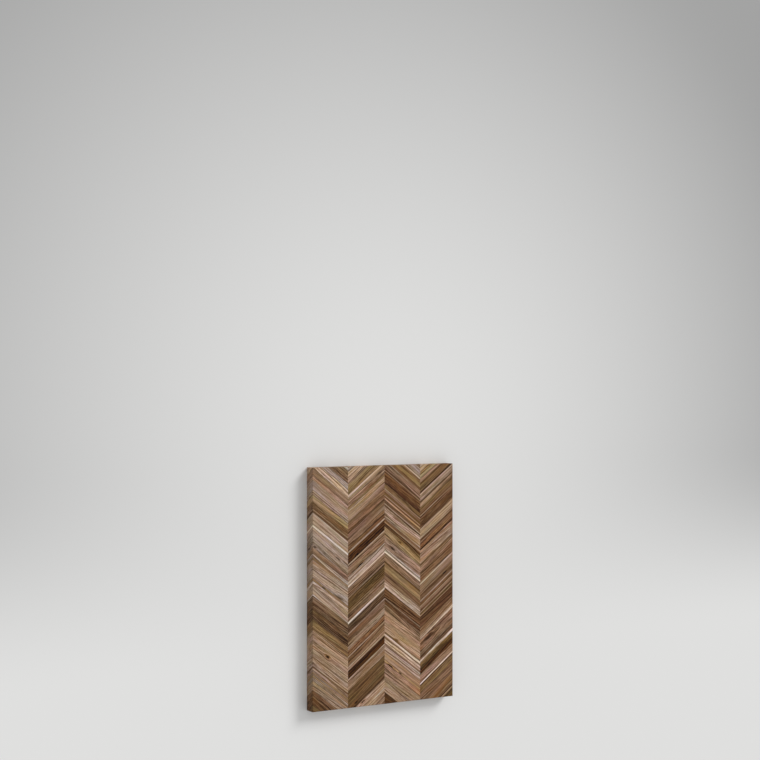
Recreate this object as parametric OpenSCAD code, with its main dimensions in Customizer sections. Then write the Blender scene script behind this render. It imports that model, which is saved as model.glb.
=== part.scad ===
// Solid wood countertop laid in a chevron of narrow staves.
// Four columns of staves are glued edge to edge. The staves lean one way in a column and the other
// way in the next, so their ends meet in zigzag spines. Every glue line also falls away through the
// thickness, so the pattern carries on down the long edges at a slant.
// X runs from the left long edge to the right, Y along the length, and Z up. The slab lies flat
// with its underside on Z = 0, and the origin is at the middle of the underside.

/* [Worktop] */
// Length of the worktop
worktop_length = 914; // [600:1:1500]
// Width of the worktop from long edge to long edge
worktop_width = 635; // [520:1:760]
// Thickness of the worktop
worktop_thickness = 45; // [25:1:60]
// Bevel that takes the sharpness off every outer edge
eased_edge = 1.5; // [0.5:0.25:4]

/* [Staves] */
// Width of each of the two inner columns; the outer columns take up what is left
inner_column_width = 163.5; // [120:0.5:200]
// Slant of the staves on the face, measured from the worktop's width
stave_angle = 37; // [20:1:45]
// Slope at which the glue lines fall away down the long edges
edge_rake = 36; // [5:1:45]
// Least run of length that may be left for the stave that closes a column
least_stave = 12; // [8:1:30]

/* [Hidden] */
columns = 4;
tones = ["cream", "sand", "tan", "rose", "olive", "brown", "russet", "bronze", "umber"];

// Cutting lists, from the near end to the far end. Each row is a stave's tone and how much of the
// worktop's length it takes up. Neighbours differ in tone. A column is laid from both ends, and
// the stave that closes it near the middle is ripped to what is left. On a longer worktop the
// rows carry on past the middle, and then start again.
column_1_list = [
    ["olive", 28], ["umber", 55], ["tan", 23], ["brown", 12], ["sand", 15], ["umber", 7],
    ["sand", 7], ["umber", 7], ["rose", 13], ["umber", 7], ["sand", 38], ["tan", 95],
    ["olive", 42], ["umber", 40], ["brown", 48], ["cream", 6], ["tan", 34], ["sand", 16],
    ["umber", 10], ["tan", 69], ["umber", 8], ["sand", 14], ["russet", 23], ["rose", 40],
    ["sand", 35], ["cream", 10], ["tan", 45], ["umber", 8], ["brown", 35], ["olive", 24],
    ["tan", 18], ["sand", 35], ["rose", 20], ["brown", 25], ["tan", 31], ["sand", 22],
    ["brown", 49], ["cream", 15], ["rose", 33],
];
column_2_list = [
    ["tan", 56], ["cream", 8], ["tan", 35], ["umber", 9], ["olive", 78], ["tan", 40],
    ["cream", 6], ["umber", 31], ["cream", 9], ["tan", 11], ["rose", 30], ["cream", 6],
    ["russet", 22], ["sand", 32], ["rose", 25], ["sand", 8], ["umber", 33], ["cream", 10],
    ["brown", 37], ["olive", 7], ["bronze", 43], ["tan", 7], ["rose", 35], ["cream", 8],
    ["sand", 33], ["rose", 42], ["cream", 6], ["umber", 40], ["sand", 8], ["umber", 16],
    ["brown", 15], ["rose", 35], ["umber", 8], ["brown", 37], ["tan", 23], ["sand", 24],
    ["bronze", 8], ["rose", 25], ["brown", 13], ["cream", 10], ["olive", 42], ["rose", 25],
    ["tan", 25], ["sand", 14], ["cream", 7], ["brown", 28],
];
column_3_list = [
    ["umber", 46], ["sand", 45], ["tan", 45], ["rose", 25], ["olive", 9], ["tan", 28],
    ["sand", 30], ["rose", 7], ["sand", 20], ["brown", 6], ["cream", 10], ["brown", 6],
    ["tan", 85], ["brown", 22], ["umber", 18], ["tan", 6], ["umber", 39], ["sand", 33],
    ["brown", 27], ["olive", 35], ["bronze", 7], ["rose", 31], ["cream", 8], ["sand", 14],
    ["tan", 42], ["olive", 38], ["umber", 13], ["tan", 8], ["umber", 9], ["sand", 47],
    ["umber", 6], ["sand", 6], ["brown", 13], ["sand", 8], ["umber", 6], ["tan", 6],
    ["bronze", 9], ["rose", 10], ["sand", 6], ["olive", 19], ["russet", 45], ["tan", 6],
    ["umber", 6], ["rose", 33], ["umber", 6], ["olive", 35], ["cream", 7], ["sand", 50],
    ["brown", 34],
];
column_4_list = [
    ["olive", 38], ["cream", 6], ["umber", 6], ["brown", 48], ["rose", 41], ["olive", 28],
    ["umber", 6], ["cream", 7], ["rose", 33], ["umber", 20], ["bronze", 25], ["cream", 12],
    ["umber", 13], ["brown", 20], ["rose", 45], ["sand", 16], ["tan", 30], ["russet", 43],
    ["tan", 6], ["bronze", 8], ["sand", 6], ["umber", 7], ["rose", 10], ["sand", 6],
    ["umber", 13], ["sand", 8], ["brown", 13], ["umber", 7], ["tan", 41], ["cream", 9],
    ["brown", 38], ["rose", 28], ["brown", 7], ["sand", 40], ["tan", 12], ["umber", 6],
    ["russet", 22], ["rose", 8], ["umber", 7], ["tan", 42], ["umber", 46], ["tan", 6],
    ["umber", 6], ["tan", 6], ["olive", 19], ["tan", 17], ["brown", 6], ["sand", 22],
    ["cream", 8], ["umber", 7], ["olive", 27], ["umber", 8], ["tan", 15], ["olive", 15],
    ["bronze", 13], ["tan", 27], ["cream", 8], ["brown", 27],
];
cutting_lists = [column_1_list, column_2_list, column_3_list, column_4_list];

// The shades of the wood
function shade(tone) =
    tone == "cream" ? "#c8b29e" : tone == "sand" ? "#a89380" : tone == "tan" ? "#987e67" :
    tone == "rose" ? "#886c58" : tone == "olive" ? "#846a48" : tone == "brown" ? "#735840" :
    tone == "russet" ? "#684a34" : tone == "bronze" ? "#624c32" : "#543a28";

// The outer columns share what the inner ones leave of the width
outer_column_width = (worktop_width - (columns - 2) * inner_column_width) / 2;
function column_width(column) =
    column == 1 || column == columns ? outer_column_width : inner_column_width;
function column_left(column) =
    -worktop_width / 2 + (column == 1 ? 0 : outer_column_width + (column - 2) * inner_column_width);
function column_middle(column) = column_left(column) + column_width(column) / 2;

// Odd columns fall towards the right and even ones rise
function lean(column) = column % 2 == 1 ? -stave_angle : stave_angle;
function rise(column) = column_width(column) * tan(stave_angle);

// A glue line drops by fall through the thickness. A stave's blank is turned to its lean and
// tipped about its own length by tip, so that its faces follow the glue lines both ways.
fall = worktop_thickness * tan(edge_rake);
tip = -atan(tan(edge_rake) * cos(stave_angle));
// Length of worktop that one millimetre of stave stock takes up
run_per_stock = sqrt(1 + pow(tan(stave_angle), 2) + pow(tan(edge_rake), 2));

// Where a column's first glue line crosses its middle on the face, and where its last stave ends
function run_start(column) = -worktop_length / 2 - rise(column) / 2;
function run_end(column) = worktop_length / 2 + rise(column) / 2 + fall;

// Rows i onwards of a list laid from the near end, for as long as they stay short of the middle
function from_near(list, i, start, middle) =
    let (row = list[i % len(list)], end = start + row[1])
    end > middle ? [] : concat([[row[0], start, end]], from_near(list, i + 1, end, middle));

// Rows i and back laid from the far end, for as long as a stave can still close the column. The
// last one returned closes it, from floor_at on, so it is ripped to what is left.
function from_far(list, i, end, floor_at) =
    let (
        count = len(list),
        row = list[(i % count + count) % count],
        start = end - row[1],
        closes = start - floor_at < least_stave
    )
    concat(
        [[row[0], closes ? floor_at : start, end]],
        closes ? [] : from_far(list, i - 1, start, floor_at)
    );

// The staves of a column as [tone, start, end] along its middle line
function staves(column) =
    let (
        list = cutting_lists[(column - 1) % len(cutting_lists)],
        middle = (run_start(column) + run_end(column)) / 2,
        near = from_near(list, 0, run_start(column), middle)
    )
    concat(near, from_far(list, len(list) - 1, run_end(column), near[len(near) - 1][2]));
function in_tone(column, tone) =
    [for (stave = staves(column)) if (stave[0] == tone) stave];

function node_name(column, tone) = str("column_", column, "_", tone, "_staves");

// Outline of the slab seen along one axis, with its corners bevelled
module eased_outline(width, height) {
    w = width / 2;
    h = height / 2;
    e = eased_edge;
    polygon([
        [-w + e, -h], [w - e, -h], [w, -h + e], [w, h - e],
        [w - e, h], [-w + e, h], [-w, h - e], [-w, -h + e],
    ]);
}

// The whole slab with every outer edge eased: the three outlines carried through each other
module slab() {
    intersection() {
        linear_extrude(height = worktop_thickness) eased_outline(worktop_width, worktop_length);
        translate([0, worktop_length / 2, worktop_thickness / 2]) rotate([90, 0, 0])
            linear_extrude(height = worktop_length)
                eased_outline(worktop_width, worktop_thickness);
        translate([-worktop_width / 2, 0, worktop_thickness / 2]) rotate([90, 0, 90])
            linear_extrude(height = worktop_width)
                eased_outline(worktop_length, worktop_thickness);
    }
}

// The upright slice of the worktop that one column of staves fills
module column_slice(column) {
    translate([column_left(column), -worktop_length / 2, 0])
        cube([column_width(column), worktop_length, worktop_thickness]);
}

// One stave's blank: a straight board of the right stock, longer and deeper than the cut piece
module blank(column, from, to) {
    run = to - from;
    stock = run / run_per_stock;
    reach = column_width(column) / cos(stave_angle) + 2 * (run + fall);
    depth = worktop_thickness / cos(tip);
    spare = run + eased_edge;
    translate([column_middle(column), from, worktop_thickness])
        rotate([tip, 0, lean(column)])
            translate([-reach / 2, 0, -depth - spare])
                cube([reach, stock, depth + 2 * spare]);
}

// All the staves of one tone in one column, cut to the column's sides and the slab's faces
module column_staves(column, tone) {
    color(shade(tone))
        intersection() {
            slab();
            column_slice(column);
            union() {
                for (stave = in_tone(column, tone)) blank(column, stave[1], stave[2]);
            }
        }
}

for (column = [1 : columns]) for (tone = tones)
    column_staves(column, tone);
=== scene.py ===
"""A solid wood countertop laid in a chevron of narrow staves, lying flat on a pale studio floor."""

import math
import random

import bmesh
import bpy
from mathutils import Matrix, Vector


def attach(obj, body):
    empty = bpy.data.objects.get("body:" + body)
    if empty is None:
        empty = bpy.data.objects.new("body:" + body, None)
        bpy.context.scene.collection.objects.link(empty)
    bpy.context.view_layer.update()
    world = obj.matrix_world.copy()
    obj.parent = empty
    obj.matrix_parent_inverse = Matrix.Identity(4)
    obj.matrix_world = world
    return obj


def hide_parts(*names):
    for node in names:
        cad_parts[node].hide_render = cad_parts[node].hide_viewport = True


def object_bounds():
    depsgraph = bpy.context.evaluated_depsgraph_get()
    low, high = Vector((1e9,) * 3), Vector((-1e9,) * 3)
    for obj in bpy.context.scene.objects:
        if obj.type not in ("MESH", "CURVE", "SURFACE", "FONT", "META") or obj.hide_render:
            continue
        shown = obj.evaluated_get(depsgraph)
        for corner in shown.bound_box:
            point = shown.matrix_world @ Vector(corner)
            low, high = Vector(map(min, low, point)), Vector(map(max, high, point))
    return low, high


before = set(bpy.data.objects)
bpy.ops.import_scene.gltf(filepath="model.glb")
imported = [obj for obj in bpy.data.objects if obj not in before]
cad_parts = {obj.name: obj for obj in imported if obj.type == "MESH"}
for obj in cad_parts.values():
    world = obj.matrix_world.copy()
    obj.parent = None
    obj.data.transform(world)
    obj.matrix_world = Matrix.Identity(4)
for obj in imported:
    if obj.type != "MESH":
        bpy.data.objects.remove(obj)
cad_low, cad_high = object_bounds()

MM = 0.001
TOUCHING = 1e-6  # distance in metres below which two places are one

# ---------------------------------------------------------------- how the staves are cut

STAVE_ANGLE = math.radians(37)  # slant of the staves on the face
EDGE_RAKE = math.radians(36)  # slope at which the glue lines fall away down the long edges
INNER_COLUMN = 163.5 * MM
EASED_EDGE = 1.5 * MM

WIDTH = cad_high.x - cad_low.x
OUTER_COLUMN = (WIDTH - 2 * INNER_COLUMN) / 2
COLUMN_MIDDLES = {
    1: cad_low.x + OUTER_COLUMN / 2,
    2: -INNER_COLUMN / 2,
    3: INNER_COLUMN / 2,
    4: cad_high.x - OUTER_COLUMN / 2,
}


def lean(column):
    """Odd columns fall towards the right and even ones rise."""
    return -STAVE_ANGLE if column % 2 else STAVE_ANGLE


def grain_axes(column):
    """The directions along a stave, through its stock from glue line to glue line, and down it."""
    along = Vector((math.cos(lean(column)), math.sin(lean(column)), 0))
    through = Vector((-math.tan(lean(column)), 1, -math.tan(EDGE_RAKE))).normalized()
    return along, through, along.cross(through)


def on_the_face(column, x_mm, run_mm):
    """A spot on the worktop's face: x from the left edge, and the run up the column's middle."""
    x = cad_low.x + x_mm * MM
    y = cad_low.y + run_mm * MM + math.tan(lean(column)) * (x - COLUMN_MIDDLES[column])
    return Vector((x, y, cad_high.z))


# ---------------------------------------------------------------- camera, floor and lamps

VIEW_DIRECTION = Vector((0.5323, 0, -0.8466)).normalized()
VIEW_UP = Vector((0, 1, 0))
LENS, SENSOR = 81.8, 36  # millimetres
# From the near left corner of the worktop's face to the camera
FROM_NEAR_CORNER = Vector((-3.221, 1.242, 5.595))

camera_data = bpy.data.cameras.new("camera")
camera_data.lens = LENS
camera_data.sensor_width = SENSOR
camera = bpy.data.objects.new("camera", camera_data)
bpy.context.scene.collection.objects.link(camera)
near_corner = Vector((cad_low.x, cad_low.y, cad_high.z))
camera_right = VIEW_DIRECTION.cross(VIEW_UP)
turn = Matrix((camera_right, VIEW_UP, -VIEW_DIRECTION)).transposed().to_4x4()
camera.matrix_world = Matrix.Translation(near_corner + FROM_NEAR_CORNER) @ turn
bpy.context.scene.camera = camera
bpy.context.scene.view_settings.view_transform = "Standard"


def linear(shade):
    """An sRGB hex shade as the linear colour that a shader takes."""
    levels = [int(shade[i : i + 2], 16) / 255 for i in (1, 3, 5)]
    return [v / 12.92 if v <= 0.04045 else ((v + 0.055) / 1.055) ** 2.4 for v in levels] + [1]


def add(tree, kind, inputs=None, stops=None, **settings):
    """Adds a node with its settings, and gives each input a value or a link from another node."""
    node = tree.nodes.new(kind)
    for name, value in settings.items():
        setattr(node, name, value)
    for socket, value in (inputs or {}).items():
        if isinstance(value, bpy.types.NodeSocket):
            tree.links.new(value, node.inputs[socket])
        else:
            node.inputs[socket].default_value = value
    for i, (place, shade) in enumerate(stops or []):
        ramp = node.color_ramp.elements
        stop = ramp[i] if i < len(ramp) else ramp.new(place)
        stop.position, stop.color = place, shade
    return node


def new_material(name):
    """An empty node material and its tree."""
    material = bpy.data.materials.new(name)
    material.use_nodes = True
    material.node_tree.nodes.clear()
    return material, material.node_tree


# Satin vinyl on the studio floor: pale grey, with a soft sheen that shows only along the floor. Its
# colour holds painted shade: darker towards its far side and pale again a long way off
NEAR_VINYL, VINYL_PAINTED_SHADE = "#e0e0df", "#888888"
VINYL_ROUGHNESS = 0.25
FLOOR_RADIUS = 30  # metres
# Where the painted shade on the vinyl is darkest, and where it begins and ends
DARKEST_AT = 3.25  # metres from the pale middle
PALE_UP_TO, DARK_FROM = -0.3, 0.5  # along the worktop's length, from its middle (metres)
LONG_WAY_OFF, NEARER = 0.08, 0.37  # one over the distance in metres
studio_vinyl, tree = new_material("satin_studio_vinyl")
spot = add(tree, "ShaderNodeTexCoord").outputs["Object"]

# The painted shade darkens the vinyl away from a pale middle a little beyond the worktop's far end
painted_shade = add(tree, "ShaderNodeMapping", {
    "Vector": spot, "Location": (-0.05, -0.55, 0), "Scale": (0.92, 0.98, 1)}).outputs[0]
painted_shade = add(tree, "ShaderNodeVectorMath", {0: painted_shade}, operation="LENGTH").outputs["Value"]
painted_shade = add(tree, "ShaderNodeMapRange", {
    "Value": painted_shade, "From Min": 0, "From Max": DARKEST_AT},
    interpolation_type="SMOOTHSTEP").outputs[0]

# The near side stays pale all over, without painted shade
beyond = add(tree, "ShaderNodeSeparateXYZ", {0: spot}).outputs["Y"]
beyond = add(tree, "ShaderNodeMapRange", {
    "Value": beyond, "From Min": PALE_UP_TO, "From Max": DARK_FROM},
    interpolation_type="SMOOTHSTEP").outputs[0]
painted_shade = add(tree, "ShaderNodeMath", {0: painted_shade, 1: beyond}, operation="MULTIPLY").outputs[0]

# The far side turns pale again from about 3 m out, as the painted shade fades, and is wholly pale
# from 12 m
horizon = add(tree, "ShaderNodeVectorMath", {0: spot}, operation="LENGTH").outputs["Value"]
horizon = add(tree, "ShaderNodeMath", {0: 1, 1: horizon}, operation="DIVIDE").outputs[0]
horizon = add(tree, "ShaderNodeMapRange", {
    "Value": horizon, "From Min": LONG_WAY_OFF, "From Max": NEARER},
    interpolation_type="SMOOTHSTEP").outputs[0]
painted_shade = add(tree, "ShaderNodeMath", {0: painted_shade, 1: horizon}, operation="MULTIPLY").outputs[0]

# Painted shade: the darker grey mixed into the vinyl's colour where the mask above is high
vinyl = add(tree, "ShaderNodeMix", {
    0: painted_shade, 6: linear(NEAR_VINYL), 7: linear(VINYL_PAINTED_SHADE)}, data_type="RGBA").outputs[2]
vinyl = add(tree, "ShaderNodeBsdfPrincipled", {
    "Base Color": vinyl, "Roughness": VINYL_ROUGHNESS, "Specular IOR Level": 0.5})
add(tree, "ShaderNodeOutputMaterial", {"Surface": vinyl.outputs[0]})

bm = bmesh.new()
bmesh.ops.create_circle(bm, cap_ends=True, segments=96, radius=FLOOR_RADIUS)
floor_mesh = bpy.data.meshes.new("studio_floor")
bm.to_mesh(floor_mesh)
bm.free()
floor_mesh.materials.append(studio_vinyl)
floor = bpy.data.objects.new("studio_floor", floor_mesh)
bpy.context.scene.collection.objects.link(floor)

# Soft light from all round, and a broad key lamp from above the far right corner
SOFT_LIGHT, BACKDROP = 0.68, "#dfdfde"
KEY_LIGHT, KEY_BREADTH = 1.95, math.radians(25)
TOWARDS_KEY = Vector((0.61, 0.61, 0.5))
world = bpy.data.worlds.new("studio")
bpy.context.scene.world = world
world.use_nodes = True
world.node_tree.nodes.clear()
light = add(world.node_tree, "ShaderNodeBackground", {
    "Color": linear("#ffffff"), "Strength": SOFT_LIGHT})
backdrop = add(world.node_tree, "ShaderNodeBackground", {"Color": linear(BACKDROP)})
rays = add(world.node_tree, "ShaderNodeLightPath").outputs
seen = rays["Is Camera Ray"]
for ray in (rays["Is Glossy Ray"], rays["Is Transmission Ray"]):
    seen = add(world.node_tree, "ShaderNodeMath", {0: seen, 1: ray}, operation="MAXIMUM").outputs[0]
sky = add(world.node_tree, "ShaderNodeMixShader", {
    0: seen, 1: light.outputs[0], 2: backdrop.outputs[0]})
add(world.node_tree, "ShaderNodeOutputWorld", {"Surface": sky.outputs[0]})

key_data = bpy.data.lights.new("key_lamp", "SUN")
key_data.energy = KEY_LIGHT
key_data.angle = KEY_BREADTH
key = bpy.data.objects.new("key_lamp", key_data)
key.rotation_mode = "QUATERNION"
key.rotation_quaternion = (-TOWARDS_KEY).to_track_quat("-Z", "Y")
bpy.context.scene.collection.objects.link(key)

# ---------------------------------------------------------------- oiled acacia

# Acacia boards are sorted by colour, from pale sapwood to near-black heartwood. Each tone has the
# shade of its dark veins, its body, its pale streaks, and the warm patches that come and go.
ACACIA_TONES = {
    "cream": ("#8f6f57", "#c6ab94", "#f0e3d8", "#c5a27b"),
    "sand": ("#614631", "#967a62", "#c4ab96", "#a17846"),
    "tan": ("#543a25", "#8e7158", "#b89b83", "#9a6d36"),
    "rose": ("#432c1b", "#7b5d46", "#a5846c", "#8b5a2f"),
    "olive": ("#44301a", "#75583a", "#9c7f57", "#8a5e28"),
    "brown": ("#37230f", "#6f5138", "#967658", "#7d4d22"),
    "russet": ("#241208", "#5e3b24", "#946f4e", "#74462a"),
    "bronze": ("#1f1305", "#5b4123", "#896c43", "#694816"),
    "umber": ("#170a02", "#50331c", "#7e5d40", "#643b16"),
}

# What shows in the wood: how long each thing runs along the grain, how wide it is across the
# stock and how deep down it (mm), how many finer levels of detail it has, and how strong each is
# beside the one before. Fibres and pores are really a fifth of a millimetre wide and are drawn
# coarser, so that they show. The drift is a pattern in colour, and the others are in grey.
WOOD_FIGURE = {
    "bands": (450, 18, 60, 2, 0.5),
    "streaks": (600, 3.6, 36, 3, 0.62),
    "flecks": (40, 2.3, 3.2, 3, 0.6),
    "layers": (400, 45, 70, 1, 0.5),
    "veins": (650, 11, 60, 2, 0.5),
    "patches": (170, 24, 60, 2, 0.5),
    "fibres": (40, 1.1, 1.1, 3, 0.7),
    "pores": (16, 1.4, 1.4, 1, 0.5),
    "drift": (130, 20, 50, 2, 0.5),
}
GROWTH_LAYER = 7.5 * MM
LAYERS_CROSSED = 4  # how many growth layers a sweep of the figure crosses
WANDER = 5 * MM  # how far the layers of the wood stray to either side
WANDERINGS = (4, 14, 14)  # and how often in a metre along the grain, across the stock and down it
END_GRAIN_FIGURE = 0.6  # strength of the figure where the saw cut across the fibres

# How much lighter each part of the figure makes the wood as it rises, and its middle, where it
# changes nothing
FIGURE_STRENGTHS = {
    "bands": (0.4, 0.5),
    "streaks": (1.45, 0.5),
    "flecks": (1.1, 0.5),
    "fibres": (0.8, 0.5),
    "growth layer": (-0.3, 0.25),
    "dark vein": (-0.32, 0.16),
}
DRIFT_SWING = (0.45, 0, 0.8)  # how far red, green and blue swing as a board's oils change
GREY_PINK = (0, 0.065, 0.15)  # shares of red, green and blue that a step of grey-pink adds

# Oil darkens the wood at the glue lines: the share of light that it leaves, how far the darkest
# of it reaches, and how far the rest soaks in on a stave's near and far sides. The wider reach on
# the near side is painted shade, a shadow line along each joint
JOINT_LIGHT, JOINT_WIDTH, NEAR_SOAK_AND_SHADOW, FAR_SOAK = 0.45, 0.15 * MM, 1.6 * MM, 0.7 * MM

# Shares of the warm shade in the warmest patches and of the dark one in the deepest pores
GOLD_SHARE, PORE_SHARE = 0.5, 0.45

# Satin oil is a little smoother where the fibres lie deep, and shines far less than varnish
DEEP_ROUGHNESS, RAISED_ROUGHNESS = 0.5, 0.66
SHINE = 0.1
RELIEF, RELIEF_DEPTH = 0.3, 0.2 * MM

# A knot, with distances in half lengths and half widths from its middle
KNOT_HEART = "#1a0e06"
KNOT_CORE, KNOT_SWIRL = 0.5, 3.4  # the grain parts fully at the one and not at all at the other
PARTING = 0.85  # half widths that the grain is pushed aside
HEART_FADES, HEART_ENDS = 1.3, 2.1
RING_FADES, RING_SHARE = 1.6, 0.25  # the share is how warm the ring is beside how dark the heart
RAGGEDNESS = 1.6  # how far the edges of the heart and the ring go in and out

# Knots and swirls: column, tone, x from the left edge, run up the column's middle, half length
# along the grain and half width across it (all mm), and how dark the heart is
KNOTS = [
    (1, "tan", 65, 193, 10, 4.5, 1.0),
    (1, "tan", 120, 455, 18, 6, 0.3),
    (1, "umber", 48, 440, 11, 3, 0.7),
    (1, "rose", 8, 566, 8, 3.5, 0.8),
    (1, "rose", 110, 594, 12, 2.4, 0.7),
    (2, "tan", 221, 30, 13, 3, 0.9),
    (2, "olive", 190, 54, 11, 3, 0.8),
    (2, "rose", 208, 561, 17, 3, 1.0),
    (2, "umber", 193, 612, 12, 4, 1.0),
    (3, "olive", 343, 102, 20, 2.6, 1.0),
    (3, "olive", 389, 104, 10, 2.2, 0.9),
    (3, "tan", 372, 219, 9, 4, 0.6),
    (3, "tan", 356, 560, 13, 4, 0.8),
    (3, "olive", 389, 608, 9, 3, 0.8),
    (4, "rose", 505, 266, 30, 10, 0.45),
    (4, "umber", 595, 459, 12, 3, 1.0),
]


def oiled_acacia(name, tone, knots=()):
    """Planed and oiled acacia: crisp dark veins and growth layers along the grain, warm patches, a
    slow drift of colour, open pores, and fainter figure where the saw cut across the fibres."""
    material, tree = new_material(name)
    dark, body, pale, warm = (linear(shade) for shade in ACACIA_TONES[tone])
    grain = add(tree, "ShaderNodeAttribute", attribute_name="grain").outputs["Vector"]
    seat = add(tree, "ShaderNodeAttribute", attribute_name="seat").outputs["Vector"]
    board = add(tree, "ShaderNodeAttribute", attribute_name="board").outputs["Vector"]
    fibre = add(tree, "ShaderNodeAttribute", attribute_name="fibre").outputs["Vector"]
    place = add(tree, "ShaderNodeTexCoord").outputs["Object"]
    level, tint, contrast = add(tree, "ShaderNodeSeparateXYZ", {0: board}).outputs
    near_joint, far_joint, warmth = add(tree, "ShaderNodeSeparateXYZ", {0: seat}).outputs

    # End grain drinks the oil evenly, so its figure is fainter
    facing = add(tree, "ShaderNodeNewGeometry").outputs["Normal"]
    cut = add(tree, "ShaderNodeVectorMath", {
        0: facing, 1: fibre}, operation="DOT_PRODUCT").outputs["Value"]
    cut = add(tree, "ShaderNodeMath", {0: cut}, operation="ABSOLUTE").outputs[0]
    cut = add(tree, "ShaderNodeMapRange", {
        "Value": cut, "From Min": 0.2, "From Max": 0.8, "To Min": 1,
        "To Max": END_GRAIN_FIGURE}).outputs[0]
    contrast = add(tree, "ShaderNodeMath", {0: contrast, 1: cut}, operation="MULTIPLY").outputs[0]

    # The grain parts round each knot: lines near it are pushed out to its sides. The knot has a
    # dark heart in a warm ring.
    heart = None
    ragged = add(tree, "ShaderNodeTexNoise", {
        "Vector": place, "Scale": 160, "Detail": 2}).outputs["Fac"] if knots else None
    for centre, turn, half_length, half_width, darkness in knots:
        around = add(tree, "ShaderNodeMapping", {
            "Vector": place, "Location": centre, "Rotation": turn,
            "Scale": (half_length, half_width, half_width * 3)}, vector_type="TEXTURE").outputs[0]
        distance = add(tree, "ShaderNodeVectorMath", {
            0: around}, operation="LENGTH").outputs["Value"]
        pull = add(tree, "ShaderNodeMapRange", {
            "Value": distance, "From Min": KNOT_CORE, "From Max": KNOT_SWIRL, "To Min": 1,
            "To Max": 0}, interpolation_type="SMOOTHERSTEP").outputs[0]
        side = add(tree, "ShaderNodeVectorMath", {
            0: around, 1: (0, -half_width * PARTING, 0)}, operation="MULTIPLY").outputs[0]
        push = add(tree, "ShaderNodeVectorMath", {
            0: side, "Scale": pull}, operation="SCALE").outputs[0]
        grain = add(tree, "ShaderNodeVectorMath", {0: grain, 1: push}, operation="ADD").outputs[0]
        edge = add(tree, "ShaderNodeMath", {
            0: ragged, 1: RAGGEDNESS, 2: distance}, operation="MULTIPLY_ADD").outputs[0]
        spot = add(tree, "ShaderNodeMapRange", {
            "Value": edge, "From Min": HEART_FADES, "From Max": HEART_ENDS, "To Min": darkness,
            "To Max": 0}, interpolation_type="SMOOTHSTEP").outputs[0]
        heart = spot if heart is None else add(
            tree, "ShaderNodeMath", {0: heart, 1: spot}, operation="MAXIMUM").outputs[0]
        ring = add(tree, "ShaderNodeMapRange", {
            "Value": edge, "From Min": RING_FADES, "From Max": KNOT_SWIRL,
            "To Min": RING_SHARE * darkness, "To Max": 0},
            interpolation_type="SMOOTHSTEP").outputs[0]
        warmth = add(tree, "ShaderNodeMath", {0: warmth, 1: ring}, operation="ADD").outputs[0]

    # The layers of the wood wander a few millimetres over a hand's length
    wander = add(tree, "ShaderNodeMapping", {"Vector": grain, "Scale": WANDERINGS}).outputs[0]
    wander = add(tree, "ShaderNodeTexNoise", {
        "Vector": wander, "Scale": 1, "Detail": 3}).outputs["Fac"]
    wander = add(tree, "ShaderNodeMapRange", {
        "Value": wander, "To Min": -WANDER, "To Max": WANDER}).outputs[0]
    wander = add(tree, "ShaderNodeCombineXYZ", {"Y": wander}).outputs[0]
    grain = add(tree, "ShaderNodeVectorMath", {0: grain, 1: wander}, operation="ADD").outputs[0]

    figure = {}
    for part, (length, width, depth, detail, roughness) in WOOD_FIGURE.items():
        threads = add(tree, "ShaderNodeMapping", {"Vector": grain, "Scale": (
            1 / (length * MM), 1 / (width * MM), 1 / (depth * MM))}).outputs[0]
        figure[part] = add(tree, "ShaderNodeTexNoise", {
            "Vector": threads, "Scale": 1, "Detail": detail, "Roughness": roughness,
        }).outputs["Color" if part == "drift" else "Fac"]

    # Growth layers darken slowly and end sharply
    across = add(tree, "ShaderNodeSeparateXYZ", {0: grain}).outputs["Y"]
    layer = add(tree, "ShaderNodeMath", {
        0: across, 1: 1 / GROWTH_LAYER}, operation="MULTIPLY").outputs[0]
    layer = add(tree, "ShaderNodeMath", {
        0: figure["layers"], 1: LAYERS_CROSSED, 2: layer}, operation="MULTIPLY_ADD").outputs[0]
    layer = add(tree, "ShaderNodeMath", {0: layer}, operation="FRACT").outputs[0]
    figure["growth layer"] = add(tree, "ShaderNodeValToRGB", {"Fac": layer}, stops=[
        (0, (0, 0, 0, 1)), (0.68, (0.1, 0.1, 0.1, 1)), (0.92, (1, 1, 1, 1)),
        (1, (0, 0, 0, 1))]).outputs["Color"]

    # Dark veins: thin lines that follow the grain and break up
    vein = add(tree, "ShaderNodeMath", {
        0: figure["veins"], 1: 0.5}, operation="SUBTRACT").outputs[0]
    vein = add(tree, "ShaderNodeMath", {0: vein}, operation="ABSOLUTE").outputs[0]
    vein = add(tree, "ShaderNodeMapRange", {
        "Value": vein, "From Min": 0.008, "From Max": 0.04, "To Min": 1, "To Max": 0}).outputs[0]
    broken = add(tree, "ShaderNodeMapRange", {
        "Value": figure["bands"], "From Min": 0.62, "From Max": 0.42}).outputs[0]
    figure["dark vein"] = add(tree, "ShaderNodeMath", {
        0: vein, 1: broken}, operation="MULTIPLY").outputs[0]

    # All of them together lie evenly about the middle of the tone's shades
    mixed = -sum(strength * middle for strength, middle in FIGURE_STRENGTHS.values())
    for part, (strength, middle) in FIGURE_STRENGTHS.items():
        mixed = add(tree, "ShaderNodeMath", {
            0: figure[part], 1: strength, 2: mixed}, operation="MULTIPLY_ADD").outputs[0]
    mixed = add(tree, "ShaderNodeMath", {
        0: mixed, 1: contrast, 2: 0.5}, operation="MULTIPLY_ADD").outputs[0]
    colour = add(tree, "ShaderNodeValToRGB", {"Fac": mixed}, stops=[
        (0.2, dark), (0.5, body), (0.8, pale)]).outputs["Color"]

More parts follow.
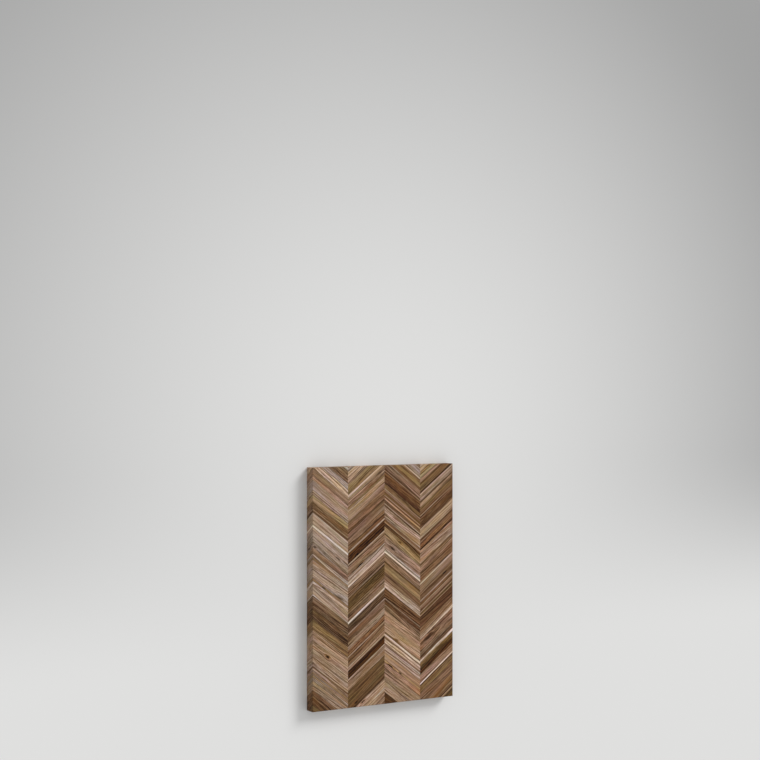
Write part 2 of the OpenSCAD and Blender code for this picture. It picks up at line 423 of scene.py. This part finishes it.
    # Warm patches of golden heartwood
    gold = add(tree, "ShaderNodeMath", {
        0: figure["patches"], 1: warmth}, operation="ADD").outputs[0]
    gold = add(tree, "ShaderNodeMapRange", {
        "Value": gold, "From Min": 0.52, "From Max": 0.75, "To Min": 0,
        "To Max": GOLD_SHARE}).outputs[0]
    colour = add(tree, "ShaderNodeMix", {0: gold, 6: colour, 7: warm}, data_type="RGBA").outputs[2]

    # Open pores: short dark dashes
    pore = add(tree, "ShaderNodeMapRange", {
        "Value": figure["pores"], "From Min": 0.6, "From Max": 0.7, "To Min": 0,
        "To Max": PORE_SHARE}).outputs[0]
    colour = add(tree, "ShaderNodeMix", {0: pore, 6: colour, 7: dark}, data_type="RGBA").outputs[2]

    if heart is not None:
        colour = add(tree, "ShaderNodeMix", {
            0: heart, 6: colour, 7: linear(KNOT_HEART)}, data_type="RGBA").outputs[2]

    # A board's colour drifts from rose to olive and back as its oils change
    drift = add(tree, "ShaderNodeVectorMath", {
        0: figure["drift"], 1: DRIFT_SWING, 2: [1 - swing / 2 for swing in DRIFT_SWING],
    }, operation="MULTIPLY_ADD").outputs[0]
    colour = add(tree, "ShaderNodeVectorMath", {
        0: colour, 1: drift}, operation="MULTIPLY").outputs[0]

    # Some boards lean to grey-pink and some to yellow, and painted light tints the columns from
    # grey-pink on the left to yellow on the right
    tint = add(tree, "ShaderNodeCombineXYZ", {"Y": tint, "Z": tint}).outputs[0]
    tint = add(tree, "ShaderNodeVectorMath", {
        0: tint, 1: GREY_PINK, 2: (1, 1, 1)}, operation="MULTIPLY_ADD").outputs[0]
    colour = add(tree, "ShaderNodeVectorMath", {
        0: colour, 1: tint}, operation="MULTIPLY").outputs[0]

    # Darker towards each glue line, where oil lies in the joint, with painted shade widening it on
    # each stave's near side
    for joint, soak in ((near_joint, NEAR_SOAK_AND_SHADOW), (far_joint, FAR_SOAK)):
        joint = add(tree, "ShaderNodeMapRange", {
            "Value": joint, "From Min": JOINT_WIDTH, "From Max": soak, "To Min": JOINT_LIGHT,
            "To Max": 1}).outputs[0]
        level = add(tree, "ShaderNodeMath", {0: level, 1: joint}, operation="MULTIPLY").outputs[0]

    colour = add(tree, "ShaderNodeVectorMath", {
        0: colour, "Scale": level}, operation="SCALE").outputs[0]

    shine = add(tree, "ShaderNodeMapRange", {
        "Value": figure["fibres"], "From Min": 0.3, "From Max": 0.7, "To Min": DEEP_ROUGHNESS,
        "To Max": RAISED_ROUGHNESS}).outputs[0]
    texture = add(tree, "ShaderNodeMath", {
        0: figure["fibres"], 1: pore}, operation="SUBTRACT").outputs[0]
    relief = add(tree, "ShaderNodeBump", {
        "Height": texture, "Strength": RELIEF, "Distance": RELIEF_DEPTH}).outputs[0]
    wood = add(tree, "ShaderNodeBsdfPrincipled", {
        "Base Color": colour, "Roughness": shine, "Normal": relief, "IOR": 1.5,
        "Specular IOR Level": SHINE})
    add(tree, "ShaderNodeOutputMaterial", {"Surface": wood.outputs[0]})
    return material


def knots_in(column, tone):
    """The knots of one node's staves, each with its place and turn in the worktop."""
    turn = Matrix(grain_axes(column)).transposed().to_euler()
    return [
        (on_the_face(column, x, run), turn, half_length * MM, half_width * MM, darkness)
        for where, kind, x, run, half_length, half_width, darkness in KNOTS
        if (where, kind) == (column, tone)
    ]


# Boards of one tone still differ. Each look is how light and how grey-pink a stave is beside its
# fellows, how much more gold it has, how strong its figure is, and where it lies: runs up the
# columns' middles (mm). Some staves take two looks.
STAVE_LOOKS = {
    "near_black": (0.6, -4, -0.3, 1.3, {2: (185, 625), 4: (165, 640)}),
    "dark": (0.64, -1.5, 0, 1, {
        1: (-44,), 2: (80, 205, 236, 254, 295, 325), 3: (-40, 808),
        4: (-40, -17, -11, 320, 783, 825, 861)}),
    "deep": (0.8, -0.5, 0, 1, {
        1: (-44, 67, 86, 355, 382, 896, 964), 2: (-2, 42, 144, 167, 185, 450, 602, 775),
        3: (-40, 5, 52, 715, 776, 920),
        4: (60, 218, 357, 450, 483, 507, 531, 581, 795, 839, 854, 878, 908, 922)}),
    "dull": (0.75, 1.2, 0, 0.9, {2: (360, 966), 3: (950,)}),
    "grey": (1.05, 1.5, 0, 1, {
        1: (480, 580, 896), 2: (405, 540, 850, 888, 946), 3: (311, 533), 4: (218, 235, 896, 956)}),
    "khaki": (1, -1, -0.1, 1, {1: (270,)}),
    "light": (1.22, -0.3, 0, 0.9, {
        1: (200,), 2: (236, 268, 745), 3: (104, 212, 258, 484, 626, 637, 726, 733, 746, 878),
        4: (382, 402, 428, 631, 777)}),
    "bright": (1.1, 0.8, 0, 1, {1: (640,), 2: (382, 520, 815), 3: (522,), 4: (956,)}),
    "golden": (1.35, -0.3, 0.02, 0.8, {3: (86, 122, 733), 4: (655,)}),
    "pale": (1.3, 0.8, 0, 0.95, {
        1: (0, 78, 92, 102, 402, 427, 440, 667, 820, 870), 2: (20, 649, 661, 832, 946),
        3: (183, 331, 402, 462, 601, 706, 878), 4: (118, 298, 439, 564, 745, 771, 896)}),
    "faded": (1.75, 1.5, -0.2, 0.65, {
        1: (54, 112, 745, 842), 2: (815, 850, 922), 3: (104, 645, 878), 4: (936,)}),
    "washed_out": (2.6, 5, -0.3, 0.5, {1: (78, 92, 440, 518), 4: (922,)}),
    "silvered": (2.1, 6, -0.3, 0.5, {1: (548,)}),
    "calm": (1, 0, 0, 0.55, {
        1: (400, 617, 667, 744, 790, 845), 2: (700, 745), 3: (122, 430, 462), 4: (357, 483)}),
    "lively": (1, 0, 0, 1.4, {
        1: (715,), 2: (144, 295), 3: (87,), 4: (138, 266, 531, 654, 839)}),
}
# Painted light: the columns' tint runs from grey-pink on the left to yellower on the right, like
# pinkish light from the left
PAINTED_LIGHT_TINTS = {1: 0.9, 2: 0, 3: -0.1, 4: -0.4}  # how grey-pink each column is on the whole

# The figure is quieter in staves with a run below or above these (mm), by so much
NARROW_STAVE, NARROW_QUIET = 11, 0.4
WIDE_STAVE, WIDE_QUIET = 60, 0.7

clear_acacia = {tone: oiled_acacia(f"oiled_acacia_{tone}", tone) for tone in ACACIA_TONES}

# ---------------------------------------------------------------- the staves

ARRIS_ROUNDING = 0.4 * MM
ARRIS_REACH = EASED_EDGE * 1.02  # the eased edges' corners are this near the worktop's outside
FLAT_WITHIN = math.radians(0.5)


def whole_staves(bm):
    """The separate staves of a mesh, each as its list of corners, from the near end up."""
    left, staves = set(bm.verts), []
    while left:
        stave, reached = [], [left.pop()]
        while reached:
            corner = reached.pop()
            stave.append(corner)
            for edge in corner.link_edges:
                other = edge.other_vert(corner)
                if other in left:
                    left.remove(other)
                    reached.append(other)
        staves.append(stave)
    return sorted(staves, key=lambda corners: sum(c.co.y for c in corners) / len(corners))


def on_an_arris(edge):
    """True for the long edges of the bevels round the outside of the worktop."""
    run = edge.verts[1].co - edge.verts[0].co
    straight = sum(abs(run[axis]) > TOUCHING for axis in range(3)) == 1
    near = [
        axis for axis in range(3)
        if all(min(abs(v.co[axis] - cad_low[axis]), abs(v.co[axis] - cad_high[axis]))
               < ARRIS_REACH for v in edge.verts)
    ]
    return straight and len(near) >= 2


def run_up_the_middle(column, through, offset):
    """Where a glue line crosses the middle of its column on the face, in mm from the near end."""
    crossing = (offset - COLUMN_MIDDLES[column] * through.x - cad_high.z * through.z) / through.y
    return (crossing - cad_low.y) / MM


def dress(node_name):
    """One node's staves, with softened outer edges and the run of the grain in each."""
    column, tone = int(node_name.split("_")[1]), node_name.split("_")[2]
    along, through, down = grain_axes(column)
    draw = random.Random(node_name)
    bm = bmesh.new()
    bm.from_mesh(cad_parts[node_name].data)
    bmesh.ops.remove_doubles(bm, verts=bm.verts, dist=TOUCHING)
    bmesh.ops.dissolve_limit(bm, angle_limit=FLAT_WITHIN, verts=bm.verts, edges=bm.edges)
    arris = [edge for edge in bm.edges if on_an_arris(edge)]
    bmesh.ops.bevel(bm, geom=arris, affect="EDGES", offset=ARRIS_ROUNDING, segments=2,
                    profile=0.5, material=-1, clamp_overlap=True)
    bmesh.ops.dissolve_degenerate(bm, dist=TOUCHING, edges=bm.edges)
    grain = bm.verts.layers.float_vector.new("grain")
    seat = bm.verts.layers.float_vector.new("seat")
    board = bm.verts.layers.float_vector.new("board")
    fibre = bm.verts.layers.float_vector.new("fibre")
    for stave in whole_staves(bm):
        start = min(corner.co.dot(through) for corner in stave)
        end = max(corner.co.dot(through) for corner in stave)
        # Chance in each stave: its place in the tree, how its grain runs out, how light and how
        # strongly figured it is, and how grey-pink and how warm
        shift = Vector((draw.uniform(0, 9), draw.uniform(0, 9), draw.uniform(0, 9)))
        slope = draw.uniform(-0.05, 0.05)
        level, contrast = draw.uniform(0.95, 1.05), draw.uniform(0.85, 1.2)
        tint, warmth = draw.uniform(-0.2, 0.2), draw.uniform(-0.08, 0.03)
        from_run, to_run = (run_up_the_middle(column, through, offset) for offset in (start, end))
        # Painted light: each column's grey-pink tint
        tint += PAINTED_LIGHT_TINTS[column]
        if to_run - from_run < NARROW_STAVE:
            contrast *= NARROW_QUIET
        elif to_run - from_run > WIDE_STAVE:
            contrast *= WIDE_QUIET
        for light, pink, gold, strength, places in STAVE_LOOKS.values():
            if any(from_run < run < to_run for run in places.get(column, ())):
                level, tint, warmth = level * light, tint + pink, warmth + gold
                contrast *= strength
        for corner in stave:
            reach, height = corner.co.dot(along), corner.co.dot(through)
            corner[grain] = Vector((reach, height + slope * reach, corner.co.dot(down))) + shift
            corner[seat] = (height - start, end - height, warmth)
            corner[board] = (level, tint, contrast)
            corner[fibre] = along
    mesh = bpy.data.meshes.new(f"{tone}_staves_{column}")
    bm.to_mesh(mesh)
    bm.free()
    knots = knots_in(column, tone)
    if knots:
        mesh.materials.append(oiled_acacia(f"knotty_acacia_{tone}_{column}", tone, knots))
    else:
        mesh.materials.append(clear_acacia[tone])
    piece = bpy.data.objects.new(f"{tone}_staves_{column}", mesh)
    bpy.context.scene.collection.objects.link(piece)
    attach(piece, "root")
    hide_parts(node_name)


for node_name in sorted(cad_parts):
    dress(node_name)
